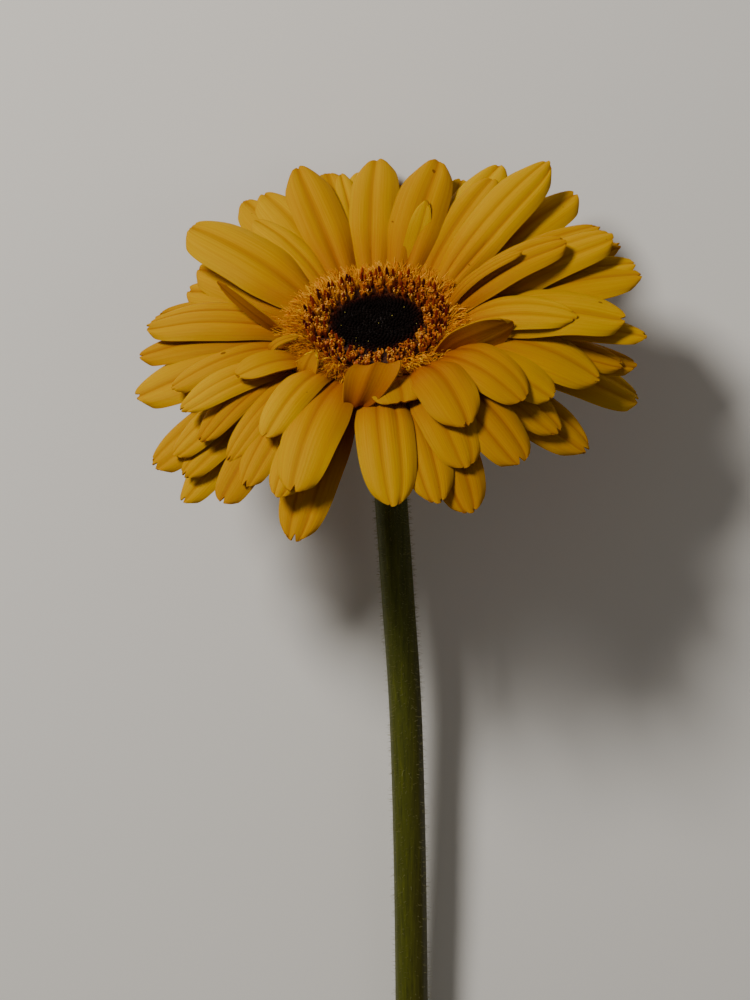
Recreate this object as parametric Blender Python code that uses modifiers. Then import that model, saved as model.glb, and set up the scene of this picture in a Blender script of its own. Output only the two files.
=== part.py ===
"""A yellow gerbera daisy: one cut flower, lying on its side.

The head has a dark eye of closed disc florets, a ring of open disc florets, a fringe of short inner florets
and several tiers of long ray florets. A green involucre of pointed bracts holds them, on a bare round scape.
Metres, +Z up. The flower rests on z = 0 on the tips of two lower ray florets and on the scape's cut end.
"""

import math
import random

import bmesh
import bpy
from mathutils import Matrix, Vector

MM = 0.001
SEED = 7
SHARP_ANGLE = math.radians(40)

# The head's own frame has its Z along the flower's axis, and its Y towards the tabletop side.
HEAD_CENTRE = Vector((-2.6, 98.0, 35.8)) * MM
HEAD_PITCH = math.radians(-50)
HEAD_LEAN = math.radians(5)

# Long ray florets, the petals, in four tiers from the lowest and outermost to the top one.
TIER_ROOT_RADIUS = (15.4, 14.8, 14.2, 13.6)
TIER_ROOT_HEIGHT = (-2.6, -1.9, -1.2, -0.5)
PETAL_THICKNESS = 0.65 * MM
PETAL_COLUMNS = 2
PETAL_ROWS = 5
# The shares of the full width that are left at the claw and at the tip, and where the claw ends.
PETAL_SHARES = (0.48, 0.34, 0.55)
NOTCH_SHARE = 0.03
# The florets at the sides turn their upper faces towards the head's uppermost side.
FACING_ROLL = 9
RIDGE_HEIGHT = 0.35

# One row for each ray floret: azimuth in degrees, reach and lift of the tip in mm, width in mm, tier.
# Azimuth 0 is the flower's right, 90 the side that lies on the table, and 270 the side that is uppermost.
RAY_FLORETS = (
    (123, 49, 8.5, 9.5, 1),
    (116, 50, 7.5, 9.5, 2),
    (109, 49, 5, 11.5, 0),
    (106, 50, 10, 10.5, 3),
    (100, 50, 7, 11.5, 1),
    (96, 46, 10, 6.0, 2),
    (90, 49, 7, 11.5, 1),
    (86, 50, 10, 10.0, 3),
    (80, 44, 8, 6.0, 2),
    (72, 51, 10, 11.0, 3),
    (65, 50, 6, 11.0, 1),
    (54, 50, 9, 11.0, 1),
    (51, 49, 10, 11.5, 2),
    (42, 52, 16, 10.5, 3),
    (29, 50, 17, 11.5, 1),
    (33, 38, 5, 5.0, 3),
    (26, 46, 7, 9.0, 3),
    (16, 50, 13, 10.5, 1),
    (13, 53, 11, 9.0, 0),
    (8, 50, 15, 10.5, 2),
    (7, 54.5, 8.5, 10.0, 1),
    (2, 55, 8, 10.5, 2),
    (355, 51, 2.5, 12.0, 3),
    (352, 55, 1, 8.0, 1),
    (350, 53, -4, 9.0, 0),
    (346, 51, -6, 10.0, 1),
    (0, 41, 1, 9.0, 3),
    (339, 47, -3, 12.0, 3),
    (336, 53, -9, 12.0, 0),
    (326, 41, 0, 9.5, 2),
    (317, 38, 0, 11.0, 3),
    (322, 44, -9, 9.5, 1),
    (318, 50, -11, 12.0, 0),
    (303, 46, -6, 12.0, 2),
    (295, 37, 0, 12.0, 3),
    (291, 42, -4, 11.5, 2),
    (286, 49, -10, 11.0, 0),
    (281, 46, -9, 10.0, 1),
    (270, 46, -7, 11.5, 3),
    (246, 46, -3, 11.0, 3),
    (249, 51, -13, 12.0, 0),
    (232, 38, 0, 8.0, 3),
    (242, 48, -4, 9.0, 1),
    (231, 46, -6, 8.5, 2),
    (227, 50, -9, 9.0, 1),
    (223, 43, -8, 6.0, 3),
    (212, 49, -13, 9.0, 1),
    (213, 51, -15, 9.5, 0),
    (205, 48, -10, 8.5, 2),
    (201, 51, -14, 9.5, 0),
    (211, 44, -5, 8.0, 3),
    (204, 45, 0, 7.5, 2),
    (195, 44, 0, 6.5, 3),
    (187, 50, -5, 11.5, 1),
    (175, 49, -3, 7.5, 2),
    (170, 48, 1, 9.5, 3),
    (160, 49, -3, 10.0, 0),
    (149, 46, -3, 10.5, 1),
    (142, 47, -1, 9.5, 0),
    (141, 48, 9, 13.0, 3),
    (128, 44, 6, 8.0, 2),
)

# Lower ray florets that the others hide, and the two that the head rests on.
BACK_AZIMUTHS = (24, 44, 78, 102, 136)
BACK_REACH_AND_LIFT = (49.0, 2.5)
REST_AZIMUTHS = (62, 118)
REST_REACH_AND_LIFT = (51.0, -1.45)
BACK_WIDTH = 11.5
BACK_ROWS = 4

HUB_RADIUS = 17.2 * MM
HUB_LOW = -3.4 * MM
HUB_HIGH = 1.2 * MM
PLATE_GAP = 0.3 * MM

# Short broad florets stand between the petals and the fringe. One row for each: azimuth at the root, knots
# of the midline as (radius, height) in mm, width, roll about its own line in degrees, shares as above, and
# the sweep of the azimuth from root to tip.
SHORT_FLORETS = (
    (251, ((15.6, 0.4), (36.0, -0.5), (21.0, 13.0), (16.0, 7.6)), 12.0, 0, (0.1, 0.7, 0.85), 18),
    (277, ((15.6, 0.2), (21.0, 6.0), (27.0, 3.2)), 11.0, 0, (0.4, 0.6, 0.55), 0),
    (225, ((15.6, 0.2), (26.0, 3.0), (18.0, 8.6)), 5.5, 0, (0.3, 0.2, 0.7), 0),
    (311, ((15.4, 0.4), (18.0, 5.5), (29.0, 8.3)), 10.0, -85, (0.4, 0.2, 0.55), 31),
    (155, ((15.4, 0.4), (22.0, 6.4), (36.0, 9.0)), 4.5, 80, (0.4, 0.2, 0.55), 0),
    (204, ((15.4, 0.6), (23.0, 9.5), (32.0, 6.5)), 6.5, -10, (0.4, 0.2, 0.55), 0),
    (67, ((15.4, 0.4), (22.0, 6.4), (33.0, 12.0)), 4.5, 20, (0.4, 0.2, 0.55), 0),
)

# The fringe is a plate of packed floret bases with narrow inner florets standing out from its rim.
FRINGE_PLATE_RADIUS = 15.2 * MM
FRINGE_PLATE_THICKNESS = 0.8 * MM
FRINGE_RINGS = ((14.1, 26), (14.7, 36))
FRINGE_LENGTH = (5.2, 7.2)
FRINGE_RISE = (44, 62)
FRINGE_WIDTH = 1.5 * MM
# The fringe is short under the folded floret, and leaves room for the claw of the one that stands on edge.
FRINGE_SHORT = (262, 22)
FRINGE_BARE = (314, 14)

# Open disc florets stand in rings on their own plate, round the dark eye.
DISC_PLATE_RADIUS = 13.3 * MM
DISC_PLATE_THICKNESS = 0.8 * MM
DISC_RINGS = ((10.6, 18, 2.6), (11.7, 20, 3.0), (12.7, 22, 2.8))
DISC_FLORET_RADIUS = (0.42 * MM, 0.62 * MM)
DISC_FLORET_SIDES = 5

# The eye is a low dome, covered with closed buds in the spiral order of a daisy's centre.
EYE_RADIUS = 9.7 * MM
EYE_THICKNESS = 0.8 * MM
EYE_DOME = 0.6 * MM
EYE_SIDES = 32
EYE_BUDS = 46
EYE_BUD_RADIUS = (0.8 * MM, 0.35 * MM)
EYE_BUD_HEIGHT = 1.1 * MM
GOLDEN_ANGLE = math.radians(137.508)

# The involucre is a bell of bracts round the fleshy receptacle.
BELL_PROFILE = (
    (14.6, -3.8),
    (15.0, -5.2),
    (13.8, -8.0),
    (11.0, -11.0),
    (7.0, -13.6),
    (4.6, -15.4),
    (4.2, -17.2),
)
BELL_SIDES = 26

# One row of bracts each: count, then root, bend and tip as (radius, height), and the width, in mm.
BRACT_ROWS = (
    (12, (7.0, -12.2), (13.2, -10.6), (15.4, -7.4), 3.8),
    (14, (10.4, -9.6), (15.6, -8.4), (16.8, -5.2), 4.0),
    (12, (12.4, -7.0), (16.4, -6.8), (18.4, -4.1), 3.6),
)
BRACT_THICKNESS = 0.65 * MM

# The scape, the bare round stem: its route from the neck to the cut end, from the head's centre.
SCAPE_DIAMETER = 7.0 * MM
SCAPE_ROUTE = (
    (1.16, -13.35, -11.25),
    (1.9, -21.5, -16.6),
    (2.8, -33.0, -19.8),
    (4.3, -54.0, -21.5),
    (6.2, -85.0, -23.7),
    (7.3, -141.0, -27.4),
    (7.5, -236.0, -32.3),
)
SCAPE_STEPS = 4
SCAPE_CUT_ANGLE = math.radians(28)


def collection(name):
    made = bpy.data.collections.new(name)
    bpy.context.scene.collection.children.link(made)
    return made


def material(name, colour, roughness):
    made = bpy.data.materials.new(name)
    made.use_nodes = True
    shader = made.node_tree.nodes["Principled BSDF"]
    shader.inputs["Base Color"].default_value = (*colour, 1)
    shader.inputs["Roughness"].default_value = roughness
    shader.inputs["Metallic"].default_value = 0
    return made


def object_of(bm, name, into):
    mesh = bpy.data.meshes.new(name)
    bm.to_mesh(mesh)
    bm.free()
    made = bpy.data.objects.new(name, mesh)
    into.objects.link(made)
    return made


def clamped(value):
    return min(1.0, max(0.0, value))


def eased(value):
    share = clamped(value)
    return share * share * (3 - 2 * share)


def bezier(knots, along):
    """The point at along, from 0 to 1, of the smooth curve that the knots pull into shape."""
    while len(knots) > 1:
        knots = [start * (1 - along) + stop * along for start, stop in zip(knots, knots[1:])]
    return knots[0]


def petal_route(azimuth, reach, lift, tier):
    """Root, bend and tip of a ray floret's midline, as (radius, height) in mm."""
    root = Vector((TIER_ROOT_RADIUS[tier], TIER_ROOT_HEIGHT[tier]))
    tip = Vector((reach, lift))
    chord = tip - root
    # A floret on the upper side of the lying head arches over more than one on the table side.
    arch = 3.6 - 1.8 * math.sin(math.radians(azimuth))
    across = Vector((-chord.y, chord.x)).normalized()
    return root, root + chord * 0.42 + across * 2 * arch, tip


def petal_half_width(along, claw_share, tip_share, claw_end):
    """Half width as a share of the full one: narrow at the claw, broad past the middle, narrow at the tip."""
    claw = claw_share + (1 - claw_share) * eased(along / claw_end)
    return claw * (1 - (1 - tip_share) * clamped((along - 0.55) / 0.45) ** 3)


def petal_point(route, azimuth, width, roll, shares, along, across):
    """A point of the sheet, in the head's frame and in mm. across runs from -1 to 1."""
    outline = width / 2 * petal_half_width(along, *shares)
    # The end is rounded, and a notch parts it into two teeth.
    shorter = 0.02 * across**2 + NOTCH_SHARE * max(0.0, 1 - 3 * abs(across))
    along -= shorter * eased((along - 0.6) / 0.4)
    middle = bezier(route, along)
    ahead = bezier(route, along + 0.01) - bezier(route, along - 0.01)
    slope = math.atan2(ahead.y, ahead.x)
    ridge = RIDGE_HEIGHT * math.cos(3 * math.pi * across) * eased(along / 0.3) * width / 11
    turned = Matrix.Rotation(roll * eased(along / 0.5), 2) @ Vector((outline * across, ridge))
    radial = middle.x - math.sin(slope) * turned.y
    height = middle.y + math.cos(slope) * turned.y
    return Matrix.Rotation(azimuth, 3, "Z") @ Vector((radial, turned.x, height))


def blade(name, columns, rows, point, thickness, into):
    """A thin closed blade: a grid bent by point(along, across), in mm, with its thickness added."""
    bm = bmesh.new()
    bmesh.ops.create_grid(bm, x_segments=rows, y_segments=columns, size=1)
    for vertex in bm.verts:
        # The rows draw together towards the tip, where the outline turns most.
        along = 1 - (1 - (vertex.co.x + 1) / 2) ** 1.4
        vertex.co = point(along, vertex.co.y) * MM
    # Triangles alike on both faces keep a waved blade from crossing itself.
    bmesh.ops.triangulate(bm, faces=bm.faces[:], quad_method="FIXED")
    made = object_of(bm, name, into)
    solidify = made.modifiers.new("thickness", "SOLIDIFY")
    solidify.thickness = thickness
    solidify.offset = 0


def ray_florets(into):
    """The long petals of every tier."""
    draw = random.Random(SEED)
    rows = [(*row, PETAL_ROWS) for row in RAY_FLORETS]
    rows += [(a, *BACK_REACH_AND_LIFT, BACK_WIDTH, 0, BACK_ROWS) for a in BACK_AZIMUTHS]
    rows += [(a, *REST_REACH_AND_LIFT, BACK_WIDTH, 0, BACK_ROWS) for a in REST_AZIMUTHS]
    for number, (azimuth, reach, lift, width, tier, steps) in enumerate(rows):
        route = petal_route(azimuth, reach, lift, tier)
        roll = math.radians(FACING_ROLL * math.cos(math.radians(azimuth)) + draw.uniform(-6, 6))
        roll = 0 if azimuth in REST_AZIMUTHS else roll

        def point(along, across, route=route, azimuth=azimuth, width=width, roll=roll):
            return petal_point(route, math.radians(azimuth), width, roll, PETAL_SHARES, along, across)

        blade(f"ray_{number}", PETAL_COLUMNS, steps, point, PETAL_THICKNESS, into)


def disc(name, radius, low, high, sides, into):
    """A round plate of packed floret bases."""
    bm = bmesh.new()
    bmesh.ops.create_cone(
        bm,
        cap_ends=True,
        segments=sides,
        radius1=radius,
        radius2=radius,
        depth=high - low,
        matrix=Matrix.Translation((0, 0, (low + high) / 2)),
    )
    return object_of(bm, name, into)


def shells(bm):
    """The mesh's separate shells, each a set of faces."""
    left = set(bm.faces)
    while left:
        found = set()
        edge = [left.pop()]
        while edge:
            face = edge.pop()
            found.add(face)
            near = {other for side in face.edges for other in side.link_faces if other in left}
            left -= near
            edge.extend(near)
        yield found


def fused(base, pieces, name, into):
    """One body made of the base and every piece, by a single union. The pieces are then removed."""
    union = base.modifiers.new("union", "BOOLEAN")
    union.operation = "UNION"
    union.operand_type = "COLLECTION"
    union.collection = pieces
    union.solver = "EXACT"
    bpy.context.view_layer.update()
    graph = bpy.context.evaluated_depsgraph_get()
    bm = bmesh.new()
    bm.from_mesh(bpy.data.meshes.new_from_object(base.evaluated_get(graph)))
    for piece in [*pieces.objects, base]:
        bpy.data.objects.remove(piece)
    bpy.data.collections.remove(pieces)
    # A pocket closed off between two pieces is filled: only the outer shell stays.
    inside = sorted(shells(bm), key=len)[:-1]
    bmesh.ops.delete(bm, geom=[face for shell in inside for face in shell], context="FACES")
    return object_of(bm, name, into)


def fringe(into):
    """Narrow inner florets by rule, standing out from the plate's rim."""
    draw = random.Random(SEED + 1)
    low = HUB_HIGH + PLATE_GAP
    for radius, count in FRINGE_RINGS:
        for step in range(count):
            azimuth = 360 * (step + draw.uniform(-0.25, 0.25)) / count
            length = draw.uniform(*FRINGE_LENGTH) * MM
            rise = math.radians(draw.uniform(*FRINGE_RISE))
            if abs(azimuth - FRINGE_BARE[0]) < FRINGE_BARE[1]:
                continue
            if abs(azimuth - FRINGE_SHORT[0]) < FRINGE_SHORT[1]:
                length *= 0.5
            bm = bmesh.new()
            place = (
                Matrix.Rotation(math.radians(azimuth), 4, "Z")
                @ Matrix.Translation((radius * MM, 0, low + FRINGE_PLATE_THICKNESS / 2))
                @ Matrix.Rotation(math.pi / 2 - rise, 4, "Y")
                @ Matrix.Translation((0, 0, length / 2))
                @ Matrix.Diagonal((0.55, 1, 1, 1))
            )
            bmesh.ops.create_cone(
                bm,
                cap_ends=True,
                segments=4,
                radius1=FRINGE_WIDTH / 2,
                radius2=FRINGE_WIDTH / 6,
                depth=length,
                matrix=place,
            )
            object_of(bm, f"fringe_{radius}_{step}", into)


def short_florets(into):
    """The broad short petals that stand nearest the fringe, some of them folded or on edge."""
    for number, (azimuth, knots, width, roll, shares, sweep) in enumerate(SHORT_FLORETS):
        route = [Vector(knot) for knot in knots]

        def point(along, across, row=(route, azimuth, width, roll, shares, sweep)):
            route, azimuth, width, roll, shares, sweep = row
            facing = math.radians(azimuth + sweep * along)
            return petal_point(route, facing, width, math.radians(roll), shares, along, across)

        blade(f"short_{number}", PETAL_COLUMNS, PETAL_ROWS, point, PETAL_THICKNESS, into)


def open_disc_florets(low, into):
    """Short upright tubes, flared at the mouth, in rings round the eye."""
    draw = random.Random(SEED + 2)
    for radius, count, height in DISC_RINGS:
        for step in range(count):
            azimuth = 2 * math.pi * (step + draw.uniform(-0.2, 0.2)) / count
            tall = height * MM * draw.uniform(0.85, 1.15)
            lean = math.radians(draw.uniform(0, 16))
            bm = bmesh.new()
            place = (
                Matrix.Rotation(azimuth, 4, "Z")
                @ Matrix.Translation((radius * MM, 0, low + DISC_PLATE_THICKNESS / 2))
                @ Matrix.Rotation(lean, 4, "Y")
                @ Matrix.Translation((0, 0, tall / 2))
            )
            bmesh.ops.create_cone(
                bm,
                cap_ends=True,
                segments=DISC_FLORET_SIDES,
                radius1=DISC_FLORET_RADIUS[0],
                radius2=DISC_FLORET_RADIUS[1],
                depth=tall,
                matrix=place,
            )
            object_of(bm, f"disc_floret_{radius}_{step}", into)


def eye_buds(low, into):
    """Closed florets on a golden-angle spiral, each a low blunt cone."""
    draw = random.Random(SEED + 4)
    for step in range(EYE_BUDS):
        share = math.sqrt((step + 0.5) / EYE_BUDS)
        radius = share * (EYE_RADIUS - EYE_BUD_RADIUS[0])
        sunk = low + EYE_THICKNESS / 2 + EYE_DOME * (1 - share**2)
        bm = bmesh.new()
        place = Matrix.Rotation(step * GOLDEN_ANGLE, 4, "Z") @ Matrix.Translation((radius, 0, sunk))
        bmesh.ops.create_cone(
            bm,
            cap_ends=True,
            segments=4,
            radius1=EYE_BUD_RADIUS[0],
            radius2=EYE_BUD_RADIUS[1],
            depth=EYE_BUD_HEIGHT * draw.uniform(0.9, 1.15),
            matrix=place @ Matrix.Rotation(draw.uniform(0, math.pi), 4, "Z"),
        )
        object_of(bm, f"bud_{step}", into)


def eye_dome(low, into):
    """The low dome that carries the buds."""
    bm = bmesh.new()
    bmesh.ops.create_cone(
        bm,
        cap_ends=True,
        segments=EYE_SIDES,
        radius1=EYE_RADIUS,
        radius2=EYE_RADIUS,
        depth=EYE_THICKNESS,
        matrix=Matrix.Translation((0, 0, low + EYE_THICKNESS / 2)),
    )
    top = max(bm.faces, key=lambda face: face.calc_center_median().z)
    bmesh.ops.inset_region(bm, faces=[top], thickness=EYE_RADIUS / 2, depth=EYE_DOME * 0.75)
    middle = bmesh.ops.poke(bm, faces=[top])["verts"][0]
    middle.co.z += EYE_DOME * 0.25
    return object_of(bm, "eye_dome", into)


def bell(into):
    """The receptacle's outside, a profile turned round the head's axis."""
    bm = bmesh.new()
    points = [(0, BELL_PROFILE[0][1]), *BELL_PROFILE, (0, BELL_PROFILE[-1][1])]
    line = [bm.verts.new(Vector((radius, 0, height)) * MM) for radius, height in points]
    for first, second in zip(line, line[1:]):
        bm.edges.new((first, second))
    bmesh.ops.spin(
        bm,
        geom=bm.verts[:] + bm.edges[:],
        cent=(0, 0, 0),
        axis=(0, 0, 1),
        angle=2 * math.pi,
        steps=BELL_SIDES,
        use_merge=True,
    )
    bmesh.ops.remove_doubles(bm, verts=bm.verts, dist=1e-6)
    bmesh.ops.recalc_face_normals(bm, faces=bm.faces)
    return object_of(bm, "bell", into)


def bracts(into):
    """Pointed green bracts in three rows, each rooted in the bell and standing off at its tip."""
    draw = random.Random(SEED + 3)
    for row, (count, root, bend, tip, width) in enumerate(BRACT_ROWS):
        for step in range(count):
            azimuth = 2 * math.pi * (step + draw.uniform(-0.12, 0.12)) / count + row

            def point(along, across, route=(root, bend, tip), width=width, azimuth=azimuth):
                middle = bezier([Vector(knot) for knot in route], along)
                side = width / 2 * across * (1 - 0.85 * along**2)
                return Matrix.Rotation(azimuth, 3, "Z") @ Vector((middle.x, side, middle.y))

            blade(f"bract_{row}_{step}", 1, 3, point, BRACT_THICKNESS, into)


def scape_points():
    """A smooth line through the route, from the neck to the cut end."""
    knots = [Vector(point) for point in SCAPE_ROUTE]
    ends = [knots[0] * 2 - knots[1], *knots, knots[-1] * 2 - knots[-2]]
    line = []
    for before, start, stop, after in zip(ends, ends[1:], ends[2:], ends[3:]):
        for step in range(SCAPE_STEPS):
            t = step / SCAPE_STEPS
            line.append(
                0.5
                * (
                    2 * start
                    + (stop - before) * t
                    + (2 * before - 5 * start + 4 * stop - after) * t**2
                    + (3 * start - before - 3 * stop + after) * t**3
                )
            )
    return [HEAD_CENTRE + point * MM for point in [*line, knots[-1]]]


def scape(into):
    """The stem: a round tube along its route, cut aslant at the lower end."""
    line = scape_points()
    curve = bpy.data.curves.new("scape_line", "CURVE")
    curve.dimensions = "3D"
    curve.bevel_depth = SCAPE_DIAMETER / 2
    curve.bevel_resolution = 4
    curve.use_fill_caps = True
    spline = curve.splines.new("POLY")
    spline.points.add(len(line) - 1)
    for knot, point in zip(spline.points, line):
        knot.co = (*point, 1)
    tube = bpy.data.objects.new("scape_line", curve)
    into.objects.link(tube)
    bpy.context.view_layer.update()
    mesh = bpy.data.meshes.new_from_object(tube.evaluated_get(bpy.context.evaluated_depsgraph_get()))
    bpy.data.objects.remove(tube)
    bm = bmesh.new()
    bm.from_mesh(mesh)
    bmesh.ops.remove_doubles(bm, verts=bm.verts, dist=1e-6)
    end = line[-1]
    # The knife leaves the underside longest, so the flower rests on that edge.
    outward = (line[-1] - line[-2]).normalized()
    normal = Matrix.Rotation(-SCAPE_CUT_ANGLE, 3, "X") @ outward
    inset = outward * SCAPE_DIAMETER / 2 * math.tan(SCAPE_CUT_ANGLE)
    cut = bmesh.ops.bisect_plane(
        bm,
        geom=bm.verts[:] + bm.edges[:] + bm.faces[:],
        plane_co=end - inset,
        plane_no=normal,
        clear_outer=True,
    )
    bmesh.ops.contextual_create(bm, geom=[e for e in cut["geom_cut"] if isinstance(e, bmesh.types.BMEdge)])
    bmesh.ops.recalc_face_normals(bm, faces=bm.faces)
    return object_of(bm, "scape", into)


def build():
    for existing in list(bpy.data.objects):
        bpy.data.objects.remove(existing)
    flower = collection("gerbera_daisy")
    head = bpy.data.objects.new("head", None)
    head.location = HEAD_CENTRE
    head.rotation_euler = (HEAD_PITCH, 0, HEAD_LEAN)
    flower.objects.link(head)

    petals = collection("petals")
    ray_florets(petals)
    short_florets(petals)
    hub = disc("hub", HUB_RADIUS, HUB_LOW, HUB_HIGH, 40, flower)
    rays = fused(hub, petals, "ray_florets", flower)

    low = HUB_HIGH + PLATE_GAP
    inner = collection("inner")
    fringe(inner)
    plate = disc("fringe_plate", FRINGE_PLATE_RADIUS, low, low + FRINGE_PLATE_THICKNESS, 32, flower)
    inner_florets = fused(plate, inner, "inner_florets", flower)

    low += FRINGE_PLATE_THICKNESS + PLATE_GAP
    opened = collection("opened")
    open_disc_florets(low, opened)
    plate = disc("disc_plate", DISC_PLATE_RADIUS, low, low + DISC_PLATE_THICKNESS, 32, flower)
    disc_florets = fused(plate, opened, "disc_florets", flower)

    low += DISC_PLATE_THICKNESS + PLATE_GAP
    buds = collection("buds")
    eye_buds(low, buds)
    centre = fused(eye_dome(low, flower), buds, "disc_eye", flower)

    greens = collection("greens")
    bracts(greens)
    involucre = fused(bell(flower), greens, "involucre", flower)
    stem = scape(flower)

    finishes = (
        (rays, material("golden_petal", (0.80, 0.42, 0.01), 0.5)),
        (inner_florets, material("orange_floret", (0.78, 0.33, 0.02), 0.55)),
        (disc_florets, material("maroon_floret", (0.33, 0.09, 0.02), 0.6)),
        (centre, material("dark_bud", (0.012, 0.006, 0.005), 0.7)),
        (involucre, material("bract_green", (0.10, 0.15, 0.03), 0.6)),
        (stem, material("scape_green", (0.13, 0.17, 0.03), 0.55)),
    )
    for piece, finish in finishes:
        piece.data.materials.clear()
        piece.data.materials.append(finish)
        piece.data.shade_smooth()
        piece.data.set_sharp_from_angle(angle=SHARP_ANGLE)
    for piece in (rays, inner_florets, disc_florets, centre, involucre):
        piece.parent = head


build()
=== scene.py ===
import math
import random

import bmesh
import bpy
from mathutils import Matrix, Vector


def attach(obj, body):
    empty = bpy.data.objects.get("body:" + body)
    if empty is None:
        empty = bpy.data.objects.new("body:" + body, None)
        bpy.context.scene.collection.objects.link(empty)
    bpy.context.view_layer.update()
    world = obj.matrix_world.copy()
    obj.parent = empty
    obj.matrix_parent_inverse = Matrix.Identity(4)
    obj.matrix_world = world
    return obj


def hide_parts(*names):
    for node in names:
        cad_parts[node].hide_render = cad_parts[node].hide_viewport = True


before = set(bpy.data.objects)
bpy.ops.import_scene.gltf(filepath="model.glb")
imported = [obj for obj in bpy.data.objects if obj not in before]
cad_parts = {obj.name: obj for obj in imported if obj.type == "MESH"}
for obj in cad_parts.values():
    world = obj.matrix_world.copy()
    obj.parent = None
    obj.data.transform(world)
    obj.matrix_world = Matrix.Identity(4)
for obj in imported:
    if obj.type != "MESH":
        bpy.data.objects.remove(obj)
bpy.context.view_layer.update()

# Ray florets
# The long petals of a gerbera: thin living blades with a lengthwise groove or two, parallel veins and a
# toothed tip. They stand in four tiers, each held by a narrow claw in the crowded rim of the flower head.
mm = 0.001
head_centre = Vector((-2.6, 98.0, 35.8))
head_turn = math.radians(5)
head_tilt = math.radians(-50)
# Takes the head's own millimetres, with its axis along Z, to metres where the flower lies.
head = (
    Matrix.Translation(head_centre * mm)
    @ Matrix.Rotation(head_turn, 4, "Z")
    @ Matrix.Rotation(head_tilt, 4, "X")
    @ Matrix.Scale(mm, 4)
)

# From the lowest tier to the top one, in the head's millimetres.
claw_root_radius = (15.4, 14.8, 14.2, 13.6)
claw_root_height = (-2.6, -1.9, -1.2, -0.5)
# The claw's width as a share of the petal's, and how far along the blade is at full width.
claw_share = 0.48
widest_share = 0.55
# How high a petal arches over its chord, how much less that is at the back and more by tier, and how far
# along the chord the arch is pulled up.
arch_height = 3.4
arch_less_behind = 1.2
arch_more_by_tier = 0.4
crown_share = 0.42
# Lobes and grooves are measured on a petal this wide, and grow and shrink with its width.
usual_width = 11
petal_thickness = 0.36 * mm
petal_columns = 18
petal_rows = 34
# A whole turn in radians, near enough for ripples.
whole_turn = 6.28

# Azimuth in degrees, from the head's right and on by its back, reach and lift of the tip and width in mm,
# and tier, from the lowest, 0. These are the petals that the photograph shows. After them come five that
# it hides, and two hidden ones that carry the head on the surface.
petals = (
    (121, 50.4, 7.6, 10.5, 1),
    (116.7, 48.5, 9.1, 11.0, 2),
    (109, 49, 5, 11.5, 0),
    (106, 50, 11, 11.0, 3),
    (99.1, 49.3, 9.1, 11.0, 1),
    (95.6, 48, 8.7, 6.0, 2),
    (90, 49.5, 7.5, 11.5, 1),
    (86, 50, 10.8, 10.5, 3),
    (80, 44, 8, 6.0, 1),
    (70, 46.7, 13.1, 11.5, 3),
    (65, 50, 6, 11.0, 1),
    (55, 51.7, 10.5, 10.5, 1),
    (54, 47, 10.5, 10.5, 2),
    (42, 53, 15.8, 11.0, 3),
    (37, 56, 9, 11.5, 1),
    (10.5, 31.4, 14, 3.0, 3),
    (11.7, 40.9, 14, 9.0, 3),
    (19.7, 51.4, 10.5, 10.5, 1),
    (16.5, 54.3, 7, 9.0, 0),
    (13.5, 51.5, 11.5, 11.0, 2),
    (9.4, 55.1, 6.2, 10.0, 1),
    (5.8, 55.6, 6, 10.5, 2),
    (352.5, 51, 4.6, 12.5, 3),
    (352, 55, -0.4, 8.0, 1),
    (350, 53, -6, 9.0, 0),
    (347.5, 50.5, -4.4, 9.0, 1),
    (349.4, 41, 6, 9.5, 3),
    (339, 47, -3, 12.0, 3),
    (348.7, 53.6, -14, 12.0, 0),
    (326, 41, -1.2, 9.5, 2),
    (317, 38, 0.8, 11.0, 3),
    (322, 44, -7.2, 9.5, 1),
    (326, 48.3, -13, 12.0, 0),
    (305, 45.5, -6, 12.0, 2),
    (295, 37, 1, 12.0, 3),
    (291, 42, -4.4, 11.5, 2),
    (288.5, 48.1, -10.5, 11.0, 0),
    (281, 46, -8, 10.0, 1),
    (270, 46, -7, 11.5, 3),
    (246, 47.9, -2.5, 11.5, 3),
    (246.6, 51, -13, 11.0, 0),
    (232.4, 39.7, 1.4, 7.5, 3),
    (242.4, 48.5, -4.7, 9.0, 1),
    (231, 46, -7.2, 8.5, 2),
    (227, 50, -9.8, 9.0, 1),
    (222.6, 43.4, -5.5, 6.5, 3),
    (209.4, 47.9, -13.2, 9.0, 1),
    (210, 49.6, -18.5, 9.5, 0),
    (205, 48, -10, 8.5, 2),
    (201, 51.5, -14, 10.5, 0),
    (211, 44, -5, 8.0, 3),
    (204, 45, 0, 7.5, 2),
    (195, 44, 0, 6.5, 3),
    (187, 50.8, -5.5, 13.0, 1),
    (175, 50, -2.6, 8.5, 2),
    (170, 48.5, 1.6, 10.5, 3),
    (160, 49, -3, 10.0, 0),
    (149.8, 45.2, 0, 11.0, 1),
    (143.4, 45.1, 2, 13.0, 2),
    (141.6, 47.4, 10.5, 14.0, 3),
    (125, 41.5, 8.5, 7.5, 2),
)
hidden_petals = tuple((azimuth, 49.0, 2.5, 11.5, 0) for azimuth in (24, 44, 78, 102, 130))
resting_petals = tuple((azimuth, 51.0, -1.45, 11.5, 0) for azimuth in (62, 118))


def clamped(value):
    return min(1.0, max(0.0, value))


def eased(value):
    """0 to 1 with a slow start and end."""
    share = clamped(value)
    return share * share * (3 - 2 * share)


def bent_line(knots, along):
    """The point at this share along a smooth curve that these knots pull on."""
    while len(knots) > 1:
        knots = [start * (1 - along) + stop * along for start, stop in zip(knots, knots[1:])]
    return knots[0]


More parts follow.
